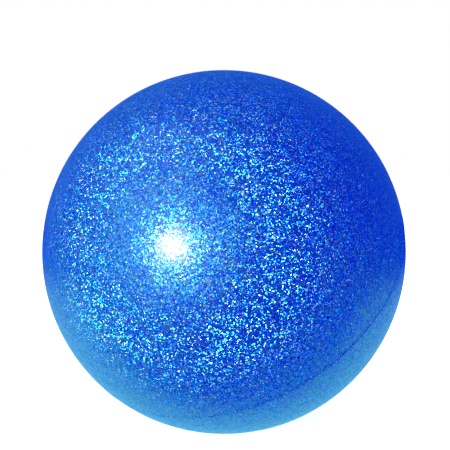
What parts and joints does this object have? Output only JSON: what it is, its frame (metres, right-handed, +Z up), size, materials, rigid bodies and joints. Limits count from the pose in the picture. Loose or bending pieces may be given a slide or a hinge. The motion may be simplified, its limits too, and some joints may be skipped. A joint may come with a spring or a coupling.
{
  "type": "rhythmic gymnastics ball",
  "caption": "Air-filled rubber ball in a blue glitter skin, with a flush push-in valve plug that pulls out for pumping.",
  "frame": {"origin": "centre of the ball", "axes": "+Y along the valve's axis, out of the ball; +Z up; the side seen in the picture faces -Y"},
  "size_m": [0.1846, 0.1847, 0.185],
  "materials": {
    "glitter_skin": "gloss",
    "wall_rubber": "matte",
    "valve_rubber": "satin",
    "plug_plastic": "satin"
  },
  "bodies": {
    "ball": {"front_skin": "glitter_skin", "rear_skin": "glitter_skin", "front_shell": "wall_rubber", "rear_shell": "wall_rubber", "valve_body": "valve_rubber"},
    "plug": {"valve_plug": "plug_plastic"}
  },
  "joints": [
    {"name": "plug_pull", "type": "slide", "parent": "ball", "child": "plug", "axis": [0, 1, 0], "range_m": [0, 0.024]}
  ]
}
